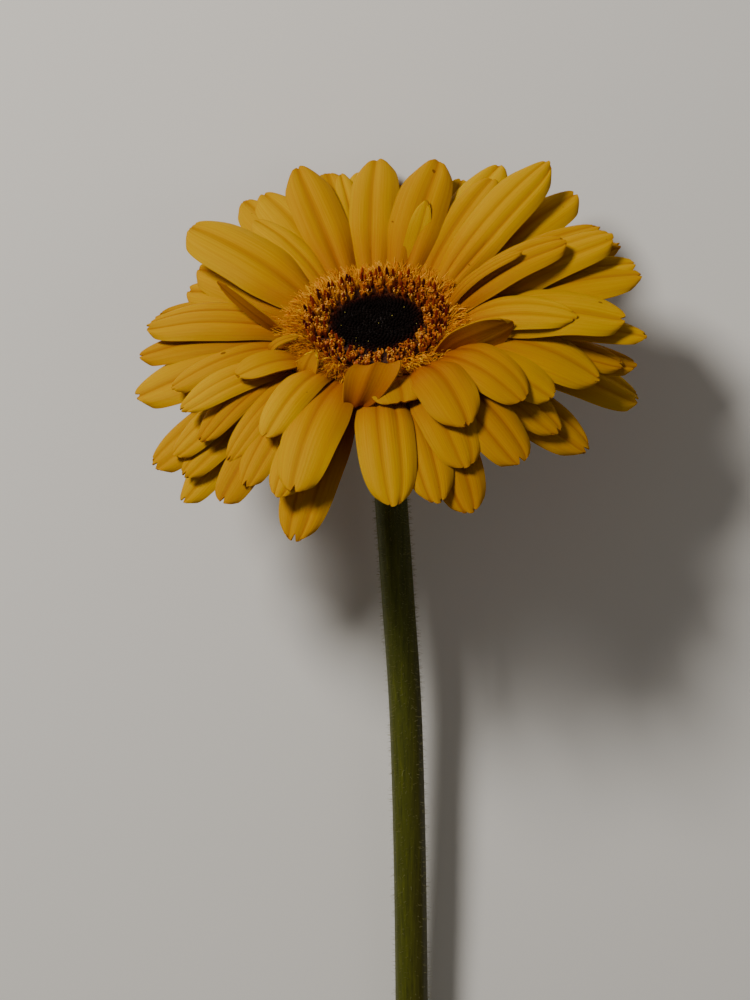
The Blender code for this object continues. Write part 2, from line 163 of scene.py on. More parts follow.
def claw_to_tip(azimuth, reach, lift, tier):
    """A long petal's middle line, as three knots of (radius, height)."""
    root = Vector((claw_root_radius[tier], claw_root_height[tier]))
    tip = Vector((reach, lift))
    chord = tip - root
    behind = math.sin(math.radians(azimuth))
    arch = arch_height - arch_less_behind * behind + arch_more_by_tier * (tier - 1.5)
    across = Vector((-chord.y, chord.x)).normalized()
    return root, root + chord * crown_share + across * 2 * arch, tip


def petal_outline(along, claw, tip, widest):
    """The width at this place along, as a share of the petal's full width."""
    end = clamped((along - 0.5) / 0.5)
    widened = claw + (1 - claw) * eased(along / widest)
    rounded = tip + (1 - tip) * math.sqrt(1 - end**4)
    return widened * rounded


def tip_cut(across, roundness, teeth, notch):
    """How far short of full length the tip ends at this place across it, for two teeth or three."""
    rounding = roundness * abs(across) ** 2
    if teeth == 2:
        return rounding + notch * max(0.0, 1 - 4.4 * abs(across))
    two_nicks = max(0.0, -math.cos(3 * math.pi * across)) ** 3 * (abs(across) < 0.6)
    return rounding + 0.4 * notch * two_nicks


def lobe(across, grooves):
    """The section of a blade with one groove or two: 1 on a lobe, 0 in a groove and at the edges."""
    if grooves == 1:
        return abs(math.sin(math.pi * across))
    return abs(math.cos(1.5 * math.pi * across))


def lay_out(sheet, lies):
    """Records where each corner of a flat grid lies across and along it, before the grid is bent."""
    for face in {face for vertex in sheet for face in vertex.link_faces}:
        for loop in face.loops:
            loop[lies].uv = ((loop.vert.co.y + 1) / 2, (loop.vert.co.x + 1) / 2)


def add_petal(bm, knots, azimuth, sweep, width, roll, shares, draw, grooves=None, depth=None):
    """One petal sheet, from claw to tip, in the head's own millimetres. A short one is told its grooves.

    shares is the claw's width, the tip's roundness and the place where the blade is at full width.
    """
    tone = bm.verts.layers.float["tone"]
    groove = bm.verts.layers.float["groove"]
    base = bm.verts.layers.float["base"]
    lies = bm.loops.layers.uv["petal"]
    teeth = draw.choice((2, 3))
    roundness = draw.uniform(0.03, 0.06)
    behind = math.sin(math.radians(azimuth))
    notch = 0.024 - 0.013 * behind
    # The painted shade at the base is deepest on the petals at the front of the head.
    base_shade_depth = 0.75 - 0.5 * behind
    # The edges ripple, and the grooves keep a little to one side.
    wave = draw.uniform(0.05, 0.3)
    beat = draw.uniform(1.2, 2.2)
    phase = draw.uniform(0, whole_turn)
    shade = draw.random()
    aside = draw.uniform(-0.16, 0.16)
    if grooves is None:
        grooves = draw.choice((1, 2))
        # The petals at the upper left of the head fold along one groove.
        if 95 < azimuth < 150:
            grooves = 1
        depth = draw.uniform(0.5, 0.85) * (1 + 0.35 * behind)
        # The edges of a long petal turn down, and most tips do too.
        curl = draw.uniform(-1.2, 0.3)
        cup = draw.uniform(-1.6, -0.8)
    else:
        curl = cup = 0
    sheet = bmesh.ops.create_grid(bm, x_segments=petal_rows, y_segments=petal_columns, size=1)["verts"]
    lay_out(sheet, lies)
    for vertex in sheet:
        across = vertex.co.y
        # The rows crowd towards the tip, where the teeth are.
        along = 1 - (1 - (vertex.co.x + 1) / 2) ** 1.4
        outline = width / 2 * petal_outline(along, *shares)
        along -= tip_cut(across, roundness, teeth, notch) * eased((along - 0.6) / 0.4)
        middle = bent_line(knots, along)
        ahead = bent_line(knots, along + 0.01) - bent_line(knots, along - 0.01)
        slope = math.atan2(ahead.y, ahead.x)
        opened = eased(along / 0.3)
        raised = lobe(across + aside * (1 - across**2), grooves)
        ridge = depth * raised * opened * (1 - 0.35 * along)
        ridge += cup * across**2 * opened * (1 - 0.3 * along) + curl * eased((along - 0.7) / 0.3)
        ridge += wave * across**3 * math.sin(beat * whole_turn * along + phase) * opened
        section = Vector((outline * across, ridge * width / usual_width))
        turned = Matrix.Rotation(roll * eased(along / 0.5), 2) @ section
        radial = middle.x - math.sin(slope) * turned.y
        height = middle.y + math.cos(slope) * turned.y
        facing = Matrix.Rotation(math.radians(azimuth + sweep * along), 3, "Z")
        vertex.co = facing @ Vector((radial, turned.x, height))
        vertex[tone] = shade
        # Where the grooves lie, for the painted shade along them.
        vertex[groove] = max(0.0, 1 - 1.9 * raised) * (abs(across) < 0.8) * opened
        # The painted shade fades from the base towards the tip.
        vertex[base] = clamped(base_shade_depth * (1 - 0.8 * eased(along / 0.85)))


def petal_mesh():
    """An empty mesh that records each petal's tone, the painted shade of its grooves and base, and how
    its surface runs.
    """
    bm = bmesh.new()
    bm.verts.layers.float.new("tone")
    bm.verts.layers.float.new("groove")
    bm.verts.layers.float.new("base")
    bm.loops.layers.uv.new("petal")
    return bm


def finished(bm, name, materials, thickness=0.0, sharp=50):
    """The piece made of a mesh that is drawn in the head's millimetres."""
    bmesh.ops.transform(bm, matrix=head, verts=bm.verts)
    return set_down(bm, name, materials, thickness, sharp)


def set_down(bm, name, materials, thickness=0.0, sharp=50):
    """The piece made of a mesh in metres. A sheet is given its thickness, and the last material below."""
    mesh = bpy.data.meshes.new(name)
    bm.to_mesh(mesh)
    bm.free()
    for material in materials:
        mesh.materials.append(material)
    piece = bpy.data.objects.new(name, mesh)
    bpy.context.collection.objects.link(piece)
    if thickness:
        wall = piece.modifiers.new("thickness", "SOLIDIFY")
        wall.thickness = thickness
        wall.offset = 0
        wall.material_offset = len(materials) - 1
        bpy.context.view_layer.update()
        thickened = piece.evaluated_get(bpy.context.evaluated_depsgraph_get())
        solid = bpy.data.meshes.new_from_object(thickened)
        piece.modifiers.clear()
        piece.data = solid
        bpy.data.meshes.remove(mesh)
        solid.name = name
    piece.data.shade_smooth()
    piece.data.set_sharp_from_angle(angle=math.radians(sharp))
    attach(piece, "root")
    return piece


def linear(hex_colour):
    """The linear colour, with alpha, of an sRGB hex value."""
    parts = [int(hex_colour[i : i + 2], 16) / 255 for i in (1, 3, 5)]
    return (*(c / 12.92 if c <= 0.04045 else ((c + 0.055) / 1.055) ** 2.4 for c in parts), 1)


def add_node(tree, kind, settings=None, links=None):
    """One node with its settings, and its inputs set to a value or linked from another node's output."""
    made = tree.nodes.new(kind)
    for key, value in (settings or {}).items():
        setattr(made, key, value)
    for key, value in (links or {}).items():
        if isinstance(value, bpy.types.NodeSocket):
            tree.links.new(value, made.inputs[key])
        else:
            made.inputs[key].default_value = value
    return made


def new_finish(name, **constants):
    """A material and its shader, with the shader's own constants set."""
    finish = bpy.data.materials.new(name)
    finish.use_nodes = True
    shader = finish.node_tree.nodes["Principled BSDF"]
    for key, value in constants.items():
        shader.inputs[key.replace("_", " ")].default_value = value
    return finish, finish.node_tree, shader


def colour_stops(ramp, stops, interpolation="EASE"):
    """Gives a colour ramp these stops, each a place and a hex colour."""
    ramp.color_ramp.interpolation = interpolation
    elements = ramp.color_ramp.elements
    for place, colour in stops[1:-1]:
        elements.new(place).color = linear(colour)
    for element, (place, colour) in zip((elements[0], elements[-1]), (stops[0], stops[-1])):
        element.position = place
        element.color = linear(colour)


# How strongly the grooves are darkened with painted shade.
groove_shade_strength = 0.6
# Veins a third of a millimetre apart on a blade 11 mm wide, each most of its length.
veins_across = 34.0
veins_along = 1.6
speck_spacing = 1.7


def petal_finish(name, along_stops, edge_colour, groove_shade_colour, vein_relief):
    """Petal skin: fine long cells give it a soft sheen, and the veins under it run from claw to tip."""
    finish, tree, shader = new_finish(
        name,
        Roughness=0.6,
        Specular_IOR_Level=0.06,
        Subsurface_Weight=0.2,
        Subsurface_Radius=(1.0, 0.45, 0.03),
        Subsurface_Scale=0.5 * mm,
    )
    lies = add_node(tree, "ShaderNodeUVMap", {"uv_map": "petal"})
    split = add_node(tree, "ShaderNodeSeparateXYZ", None, {0: lies.outputs[0]})
    # From the orange of the claw to the clear yellow of the blade, a little duller at the teeth.
    length = add_node(tree, "ShaderNodeValToRGB", None, {0: split.outputs["Y"]})
    colour_stops(length, along_stops)
    # The thin edges are a slightly greener yellow.
    from_edge = add_node(
        tree, "ShaderNodeMath", {"operation": "PINGPONG"}, {0: split.outputs["X"], 1: 0.5}
    )
    edge_mask = add_node(
        tree,
        "ShaderNodeMapRange",
        None,
        {"Value": from_edge.outputs[0], "From Min": 0.12, "From Max": 0.0, "To Min": 0.0, "To Max": 0.5},
    )
    edged = add_node(
        tree,
        "ShaderNodeMix",
        {"data_type": "RGBA"},
        {"Factor": edge_mask.outputs[0], "A": length.outputs[0], "B": linear(edge_colour)},
    )
    # The blade is a little darker along its grooves: painted shade in the creases.
    groove_shade_attribute = add_node(tree, "ShaderNodeAttribute", {"attribute_name": "groove"})
    groove_shade_mask = add_node(
        tree, "ShaderNodeMath", {"operation": "MULTIPLY"}, {0: groove_shade_attribute.outputs["Fac"], 1: groove_shade_strength}
    )
    groove_shaded = add_node(
        tree,
        "ShaderNodeMix",
        {"data_type": "RGBA", "blend_type": "MULTIPLY"},
        {"Factor": groove_shade_mask.outputs[0], "A": edged.outputs["Result"], "B": linear(groove_shade_colour)},
    )
    # Painted shade: every petal is darkened to a deeper orange towards its base,
    # most of all at the front of the head.
    base = add_node(tree, "ShaderNodeAttribute", {"attribute_name": "base"})
    base_shaded = add_node(
        tree,
        "ShaderNodeMix",
        {"data_type": "RGBA", "blend_type": "MULTIPLY"},
        {"Factor": base.outputs["Fac"], "A": groove_shaded.outputs["Result"], "B": linear("#d6ac94")},
    )
    # The veins are a noise drawn out along the blade, another one for each petal.
    stretched = add_node(
        tree, "ShaderNodeMapping", None, {0: lies.outputs[0], "Scale": (veins_across, veins_along, 1.0)}
    )
    tone = add_node(tree, "ShaderNodeAttribute", {"attribute_name": "tone"})
    seeded = add_node(
        tree, "ShaderNodeMath", {"operation": "MULTIPLY"}, {0: tone.outputs["Fac"], 1: 40.0}
    )
    veins = add_node(
        tree,
        "ShaderNodeTexNoise",
        {"noise_dimensions": "4D"},
        {
            "Vector": stretched.outputs[0],
            "W": seeded.outputs[0],
            "Scale": 1.0,
            "Detail": 3.0,
            "Roughness": 0.6,
        },
    )
    vein_tone = add_node(
        tree,
        "ShaderNodeMapRange",
        None,
        {"Value": veins.outputs[0], "From Min": 0.3, "From Max": 0.7, "To Min": 0.0, "To Max": 0.4},
    )
    veined = add_node(
        tree,
        "ShaderNodeMix",
        {"data_type": "RGBA", "blend_type": "MULTIPLY"},
        {"Factor": vein_tone.outputs[0], "A": base_shaded.outputs["Result"], "B": linear("#dcb878")},
    )
    # Here and there a brown speck, where rain or an insect has bruised the skin.
    place = add_node(tree, "ShaderNodeTexCoord")
    bruises = add_node(
        tree,
        "ShaderNodeTexNoise",
        None,
        {"Vector": place.outputs["Object"], "Scale": 1 / (speck_spacing * mm), "Detail": 0.0},
    )
    speck = add_node(
        tree,
        "ShaderNodeMapRange",
        None,
        {"Value": bruises.outputs[0], "From Min": 0.88, "From Max": 0.9, "To Min": 0.0, "To Max": 0.8},
    )
    specked = add_node(
        tree,
        "ShaderNodeMix",
        {"data_type": "RGBA"},
        {"Factor": speck.outputs[0], "A": veined.outputs["Result"], "B": linear("#6e3c0c")},
    )
    # No two petals are quite the same yellow.
    hue = add_node(
        tree, "ShaderNodeMapRange", None, {"Value": tone.outputs["Fac"], "To Min": 0.492, "To Max": 0.506}
    )
    value = add_node(
        tree, "ShaderNodeMapRange", None, {"Value": tone.outputs["Fac"], "To Min": 0.88, "To Max": 1.08}
    )
    toned = add_node(
        tree,
        "ShaderNodeHueSaturation",
        None,
        {"Hue": hue.outputs[0], "Value": value.outputs[0], "Color": specked.outputs["Result"]},
    )
    tree.links.new(toned.outputs[0], shader.inputs["Base Color"])
    bump = add_node(
        tree,
        "ShaderNodeBump",
        None,
        {"Strength": vein_relief, "Distance": 0.15 * mm, "Height": veins.outputs[0]},
    )
    tree.links.new(bump.outputs[0], shader.inputs["Normal"])
    return finish


petal_upper_skin = petal_finish(
    "petal upper skin",
    (
        (0.0, "#c07e00"),
        (0.2, "#c89000"),
        (0.45, "#ce9e00"),
        (0.85, "#d2a400"),
        (0.985, "#ce9e00"),
        (1.0, "#c09006"),
    ),
    edge_colour="#cca400",
    groove_shade_colour="#c89640",
    vein_relief=0.5,
)
petal_lower_skin = petal_finish(
    "petal lower skin",
    ((0.0, "#8e5200"), (0.3, "#ac7000"), (0.7, "#ba8200"), (0.98, "#b67c00"), (1.0, "#a47008")),
    edge_colour="#bc8a00",
    groove_shade_colour="#a87c40",
    vein_relief=0.7,
)

tone_draw = random.Random(11)
roll_draw = random.Random(7)
tiers = [petal_mesh() for _ in claw_root_radius]
for petal in (*petals, *hidden_petals, *resting_petals):
    azimuth, reach, lift, width, tier = petal
    # The petals at the sides roll a little round their own middle line. Those that carry the head don't.
    roll = math.radians(9 * math.cos(math.radians(azimuth)) + roll_draw.uniform(-3, 3))
    if petal in resting_petals:
        roll = 0
    knots = claw_to_tip(azimuth, reach, lift, tier)
    sweep = tone_draw.uniform(-4, 4)
    shares = (claw_share, tone_draw.uniform(0.3, 0.5), widest_share)
    add_petal(tiers[tier], knots, azimuth - sweep, sweep, width, roll, shares, tone_draw)
for tier, bm in zip(("lowest", "second", "third", "top"), tiers):
    piece = finished(bm, f"petals_{tier}_tier", (petal_upper_skin, petal_lower_skin), petal_thickness)
    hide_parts("ray_florets")

# Short ray florets
# A few of the innermost petals stay short, and stand, fold or twist by the fringe as they open. They are
# the same kind of blade as the long ones, and some show their dull lower skin.

# Azimuth, knots of the middle line as (radius, height), width, roll in degrees, outline shares, sweep in
# degrees from claw to tip, number of grooves and their depth.
short_petals = (
    (251, ((15.6, 0.4), (36.0, -1.5), (21.5, 10.5), (16.4, 6.0)), 11.0, 0, (0.1, 0.7, 0.85), 18, 1, 0.9),
    (277, ((15.6, 0.2), (21.0, 6.0), (27.0, 3.2)), 11.0, 0, (0.4, 0.6, 0.55), 0, 1, 0.5),
    (225, ((15.6, 0.2), (26.0, 2.2), (18.0, 7.6)), 5.5, 0, (0.3, 0.2, 0.7), 0, 1, 0.4),
    (311, ((15.4, 0.4), (18.0, 4.4), (29.0, 7.2)), 8.0, -85, (0.4, 0.2, 0.55), 31, 2, 0.2),
    (186, ((15.4, 0.4), (22.0, 5.4), (32.8, 12.0)), 3.2, 80, (0.4, 0.2, 0.55), -19.7, 1, 0.2),
    (213, ((15.4, 0.6), (23.0, 8.0), (33.0, 5.0)), 6.5, -10, (0.4, 0.2, 0.55), -4.5, 1, 0.3),
    (67, ((15.4, 0.4), (22.0, 6.4), (33.0, 12.0)), 4.5, 20, (0.4, 0.2, 0.55), 0, 1, 0.3),
    (196, ((15.6, 0.4), (25.0, 0.0), (25.5, 7.5), (17.0, 6.0)), 2.4, 0, (0.8, 0.6, 0.3), 3, 1, 0.1),
)
bm = petal_mesh()
for azimuth, knots, width, roll, shares, sweep, grooves, depth in short_petals:
    knots = [Vector(knot) for knot in knots]
    add_petal(bm, knots, azimuth, sweep, width, math.radians(roll), shares, tone_draw, grooves, depth)
piece = finished(bm, "petals_short", (petal_upper_skin, petal_lower_skin), petal_thickness)
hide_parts("ray_florets")

# Crowded floret bases
# Under the fringe the claws of all the petals merge in a fleshy rim round the receptacle, corrugated
# where one claw lies beside the next. It is grown in one with them.
rim_profile = ((0, 1.1), (16.2, 1.1), (17.0, 0.4), (17.2, -1.0), (16.8, -2.6), (15.6, -3.3), (0, -3.3))
rim_sides = 96
corrugation_count = 34
corrugation_depth = 0.012


def turned_disc(profile, steps):
    """A solid turned round the head's axis, from a profile of (radius, height) that ends on the axis."""
    bm = bmesh.new()
    line = [bm.verts.new((radius, 0, height)) for radius, height in profile]
    for first, second in zip(line, line[1:]):
        bm.edges.new((first, second))
    bmesh.ops.spin(
        bm,
        geom=bm.verts[:] + bm.edges[:],
        cent=(0, 0, 0),
        axis=(0, 0, 1),
        angle=2 * math.pi,
        steps=steps,
        use_merge=True,
    )
    bmesh.ops.remove_doubles(bm, verts=bm.verts, dist=1e-4)
    bmesh.ops.recalc_face_normals(bm, faces=bm.faces)
    return bm


def plant_flesh(name, deep, pale, grain, bump_depth, roughness=0.6):
    """Moist matt plant tissue, mottled where the cells crowd. Its grain and bump depth are in mm."""
    finish, tree, shader = new_finish(name, Roughness=roughness, Specular_IOR_Level=0.3)
    place = add_node(tree, "ShaderNodeTexCoord")
    mottle = add_node(
        tree,
        "ShaderNodeTexNoise",
        None,
        {"Vector": place.outputs["Object"], "Scale": 1 / (grain * mm), "Detail": 4.0, "Roughness": 0.6},
    )
    ramp = add_node(tree, "ShaderNodeValToRGB", None, {0: mottle.outputs[0]})
    colour_stops(ramp, ((0.35, deep), (0.68, pale)))
    tree.links.new(ramp.outputs[0], shader.inputs["Base Color"])
    bump = add_node(
        tree,
        "ShaderNodeBump",
        None,
        {"Strength": 0.5, "Distance": bump_depth * mm, "Height": mottle.outputs[0]},
    )
    tree.links.new(bump.outputs[0], shader.inputs["Normal"])
    return finish


bm = turned_disc(rim_profile, rim_sides)
for vertex in bm.verts:
    turn = math.atan2(vertex.co.y, vertex.co.x)
    if vertex.co.xy.length > 12:
        vertex.co.xy *= 1 + corrugation_depth * math.sin(corrugation_count * turn)
claw_flesh = plant_flesh("claw flesh", "#94780c", "#b89414", grain=0.8, bump_depth=0.2)
piece = finished(bm, "petal_claw_rim", (claw_flesh,))
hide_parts("ray_florets")

# Fringe of inner florets
# Between the petals and the eye stands a golden fuzz: the narrow curled lips and the hair-fine bristles
# of the inner florets, packed on a plate of their bases.
lip_count = 420
lip_thickness = 0.14 * mm
bristle_count = 3200
bristle_width = 0.13
bristle_thickness = 0.09 * mm
# Heights that the roots start from, and that the rise is added to.
lip_heights = (1.6, 2.0)
bristle_heights = (1.3, 1.6)
# Least and most of root radius, reach and rise, and the share of the rise left under the curled petal.
lip_places = ((13.6, 16.6), (1.6, 3.6), (1.8, 3.6), 0.45)
bristle_places = ((13.8, 17.6), (0.8, 3.4), (1.4, 4.2), 0.4)
curled_petal_azimuth = 262
folded_petal_azimuth = 314
fringe_plate_profile = ((0, 2.3), (14.6, 2.3), (15.1, 2.0), (15.2, 1.6), (0, 1.5))


def strand_place(draw, root_radii, reaches, rises, under_curled_petal):
    """Azimuth, root radius, reach and rise of one strand.

    The fringe leans out further at the head's left. It stays low under the petal that curls over it at
    the front, and by the folded one to the right of that.
    """
    azimuth = draw.uniform(0, 2 * math.pi)
    degrees = math.degrees(azimuth)
    root_radius = draw.uniform(*root_radii)
    reach = draw.uniform(*reaches) * (1.45 if 170 < degrees < 240 else 1)
    rise = draw.uniform(*rises)
    if abs(degrees - curled_petal_azimuth) < 20:
        rise *= under_curled_petal
    if abs(degrees - folded_petal_azimuth) < 12:
        rise *= 0.6
        reach *= 0.5
    return azimuth, root_radius, reach, rise


def add_strap(bm, root, bend, tip, azimuth, width, crinkle, draw, steps=7):
    """A narrow strap in the head's millimetres, bent through (radius, height) knots and crinkled."""
    tone = bm.verts.layers.float["tone"]
    knots = [Vector(knot) for knot in (root, bend, tip)]
    phase = draw.uniform(0, whole_turn)
    twist = draw.uniform(-0.7, 0.7)
    lean = draw.uniform(-0.5, 0.5)
    shade = draw.random()
    sheet = bmesh.ops.create_grid(bm, x_segments=steps, y_segments=1, size=1)["verts"]
    facing = Matrix.Rotation(azimuth, 3, "Z")
    for vertex in sheet:
        along = (vertex.co.x + 1) / 2
        half = width / 2 * vertex.co.y * (1 - 0.65 * along**2)
        middle = bent_line(knots, along)
        sway = crinkle * math.sin(5.5 * along + phase) * along + lean * along * 2
        ripple = crinkle * 0.5 * math.cos(6 * along + phase) * along
        turned = Matrix.Rotation(twist * along * 2, 2) @ Vector((half, 0))
        vertex.co = facing @ Vector((middle.x, turned.x + sway, middle.y + turned.y + ripple))
        vertex[tone] = shade


def toned_mesh():
    """An empty mesh whose small parts each have a tone of their own."""
    bm = bmesh.new()
    bm.verts.layers.float.new("tone")
    return bm


def strand_finish(name, stops, roughness=0.55, gloss=0.2):
    """Living strands and buds, too small to show a grain: each has one tone of a range, dully shining."""
    finish, tree, shader = new_finish(name, Roughness=roughness, Specular_IOR_Level=gloss)
    tone = add_node(tree, "ShaderNodeAttribute", {"attribute_name": "tone"})
    ramp = add_node(tree, "ShaderNodeValToRGB", None, {0: tone.outputs["Fac"]})
    colour_stops(ramp, stops, "LINEAR")
    tree.links.new(ramp.outputs[0], shader.inputs["Base Color"])
    return finish


fringe_draw = random.Random(21)
bm = toned_mesh()
foot, low = lip_heights
for _ in range(lip_count):
    azimuth, root_radius, reach, rise = strand_place(fringe_draw, *lip_places)
    root = (root_radius, foot)
    bend = (root_radius + 0.2 * reach, low + rise)
    tip = (root_radius + reach, low + rise * fringe_draw.uniform(0.7, 1.15))
    add_strap(bm, root, bend, tip, azimuth, fringe_draw.uniform(0.3, 0.6), 0.45, fringe_draw)
lip_skin = strand_finish(
    "inner floret lip", ((0.0, "#d27800"), (0.4, "#e29604"), (0.75, "#eaa80c"), (1.0, "#eeb420"))
)
piece = finished(bm, "fringe_lips", (lip_skin,), lip_thickness)
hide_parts("inner_florets")

bm = toned_mesh()
foot, low = bristle_heights
for _ in range(bristle_count):
    azimuth, root_radius, reach, rise = strand_place(fringe_draw, *bristle_places)
    root = (root_radius, foot)
    bend = (root_radius + 0.1 * reach, low + rise * 0.8)
    tip = (root_radius + reach, low + rise)
    add_strap(bm, root, bend, tip, azimuth, bristle_width, 0.55, fringe_draw, steps=5)
bristle_skin = strand_finish("golden bristle", ((0.0, "#d88600"), (0.5, "#e8a010"), (1.0, "#f0ba30")))
piece = finished(bm, "fringe_bristles", (bristle_skin,), bristle_thickness)
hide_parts("inner_florets")

bm = turned_disc(fringe_plate_profile, 72)
# The plate is the orange flesh of the floret bases, darkened as painted shade in the gaps of the fringe.
plate_flesh_in_shade = plant_flesh("floret base flesh in painted shade", "#6a3208", "#b06a14", grain=0.45, bump_depth=0.25)
piece = finished(bm, "fringe_plate", (plate_flesh_in_shade,))
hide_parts("inner_florets")

# Open disc florets
# Round the eye the small tubular florets are open: an orange tube, lips curled back at its mouth, and a
# maroon column of anthers standing out of it. They sit shoulder to shoulder on their plate.

# Radius, number of florets and height of each ring.
floret_rings = ((10.35, 27, 1.9), (11.2, 29, 2.3), (12.1, 31, 2.6), (13.0, 34, 2.7), (13.9, 36, 2.6))
corolla_radii = (0.34, 0.36, 0.44, 0.62, 0.5)
anther_radii = (0.2, 0.24, 0.22, 0.1)
anther_widening = 1.65
floret_foot = 3.0
upright_radius = 11.5
mouth_lips = 4
curled_lip_thickness = 0.12 * mm
floret_plate_profile = ((0, 3.4), (12.9, 3.4), (13.3, 3.2), (13.3, 2.7), (0, 2.6))


def add_copy(bm, pattern, place, shade):
    """A copy of a small closed pattern, put in place and given a tone of its own."""
    before = len(bm.verts)
    bm.from_mesh(pattern)
    bm.verts.ensure_lookup_table()
    tone = bm.verts.layers.float["tone"]
    for vertex in bm.verts[before:]:
        vertex.co = place @ vertex.co
        vertex[tone] = shade


def pattern_mesh(bm):
    """The small mesh that add_copy repeats."""
    mesh = bpy.data.meshes.new("pattern")
    bm.to_mesh(mesh)
    bm.free()
    return mesh


def tube_pattern(sides, radii):
    """A closed tube of unit height, extruded ring by ring through these radii."""
    bm = bmesh.new()
    foot = bmesh.ops.create_circle(bm, cap_ends=True, segments=sides, radius=radii[0])["verts"]
    face = foot[0].link_faces[0]
    for before, after in zip(radii, radii[1:]):
        grown = bmesh.ops.extrude_discrete_faces(bm, faces=[face])["faces"][0]
        bmesh.ops.translate(bm, vec=(0, 0, 1 / (len(radii) - 1)), verts=grown.verts)
        bmesh.ops.scale(bm, vec=(after / before, after / before, 1), verts=grown.verts)
        face = grown
    bmesh.ops.recalc_face_normals(bm, faces=bm.faces)
    return pattern_mesh(bm)


def add_curled_lip(bm, place, high, shade, draw):
    """One lip of a floret's mouth, a strap that curls out and back from the rim of its tube."""
    tone = bm.verts.layers.float["tone"]
    sheet = bmesh.ops.create_grid(bm, x_segments=4, y_segments=1, size=1)["verts"]
    curl = draw.uniform(2.4, 4.2)
    size = draw.uniform(0.28, 0.42)
    for vertex in sheet:
        along = (vertex.co.x + 1) / 2
        bow = curl * along
        out = corolla_radii[0] + size * math.sin(bow)
        up = high + size * (1 - math.cos(bow)) * 0.9 - 0.1
        side = 0.2 * vertex.co.y * (1 - 0.5 * along)
        vertex.co = place @ Vector((out, side, up))
        vertex[tone] = shade


corolla_pattern = tube_pattern(6, corolla_radii)
anther_pattern = tube_pattern(5, anther_radii)
floret_draw = random.Random(31)
corollas = toned_mesh()
anthers = toned_mesh()
lips = toned_mesh()
for radius, count, tall in floret_rings:
    for step in range(count):
        azimuth = 2 * math.pi * (step + floret_draw.uniform(-0.3, 0.3)) / count
        foot = Matrix.Translation((radius + floret_draw.uniform(-0.2, 0.2), 0, floret_foot))
        lean_out = math.radians(floret_draw.uniform(-4, 12) + (radius - upright_radius) * 3)
        lean_aside = math.radians(floret_draw.uniform(-9, 9))
        stand = Matrix.Rotation(azimuth, 4, "Z") @ foot
        stand @= Matrix.Rotation(lean_out, 4, "Y")
        stand @= Matrix.Rotation(lean_aside, 4, "X")
        # Those at the front of the head are shorter, so that the eye shows over them.
        front = max(0.0, -math.sin(azimuth + 0.1)) ** 2
        high = tall * floret_draw.uniform(0.75, 1.1) * (1 - 0.5 * front)
        turn = Matrix.Rotation(floret_draw.uniform(0, whole_turn), 4, "Z")
        shade = floret_draw.random()
        add_copy(corollas, corolla_pattern, stand @ turn @ Matrix.Diagonal((1, 1, high, 1)), shade)
        # Most florets of the outer two rings have their anthers out, and fewer of the inner ones.
        if floret_draw.random() < (0.85 if radius > 12.5 else 0.4):
            column = floret_draw.uniform(1.4, 2.5) * (1 - 0.25 * front)
            mouth = stand @ Matrix.Translation((0, 0, high - 0.4))
            place = mouth @ Matrix.Diagonal((anther_widening, anther_widening, column, 1))
            add_copy(anthers, anther_pattern, place, floret_draw.random())
        for lip in range(mouth_lips):
            side_turn = lip * 2 * math.pi / mouth_lips + floret_draw.uniform(-0.4, 0.4)
            around = turn @ Matrix.Rotation(side_turn, 4, "Z")
            add_curled_lip(lips, stand @ around, high, shade, floret_draw)
corolla_skin = strand_finish(
    "orange corolla",
    ((0.0, "#984208"), (0.35, "#c26414"), (0.7, "#d27e1a"), (1.0, "#dc9422")),
    roughness=0.5,
)
lip_edge = strand_finish(
    "curled corolla lip", ((0.0, "#b86410"), (0.5, "#d48828"), (1.0, "#dc9c40")), roughness=0.5
)
anther_skin = strand_finish(
    "maroon anther",
    ((0.0, "#3c0d0c"), (0.45, "#641816"), (0.8, "#86280f"), (1.0, "#b24e12")),
    roughness=0.45,
)
for bm, name, skin, thick in (
    (corollas, "floret_corollas", corolla_skin, 0),
    (lips, "floret_lips", lip_edge, curled_lip_thickness),
    (anthers, "floret_anthers", anther_skin, 0),
):
    piece = finished(bm, name, (skin,), thick)
    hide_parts("disc_florets")

bm = turned_disc(floret_plate_profile, 72)
# The plate is near black brown: painted shade in the gaps between the florets.
shaded_flesh = plant_flesh("shaded floret bases", "#240c04", "#582608", grain=0.4, bump_depth=0.25)
piece = finished(bm, "floret_plate", (shaded_flesh,))
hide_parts("disc_florets")

# The eye
# The middle of the head is still in bud: hundreds of near black, pointed buds packed in the crossing
# spirals of every daisy, on a low dome. A few grains of pollen have dropped on them.
eye_radius = 9.75
eye_edge_height = 3.5
eye_rise = 0.5
bud_count = 520
# How much longer than round the upper half of a bud is.
bud_point = 1.5
golden_angle = math.radians(137.508)
grain_count = 11
dome_profile = ((0, 4.05), (3.0, 3.95), (6.5, 3.75), (9.2, 3.5), (9.6, 3.35), (9.6, 3.0), (0, 2.9))


def eye_height(share):
    """The height at which a bud sits, at this share of the eye's radius."""
    return eye_edge_height + eye_rise * (1 - share**2)


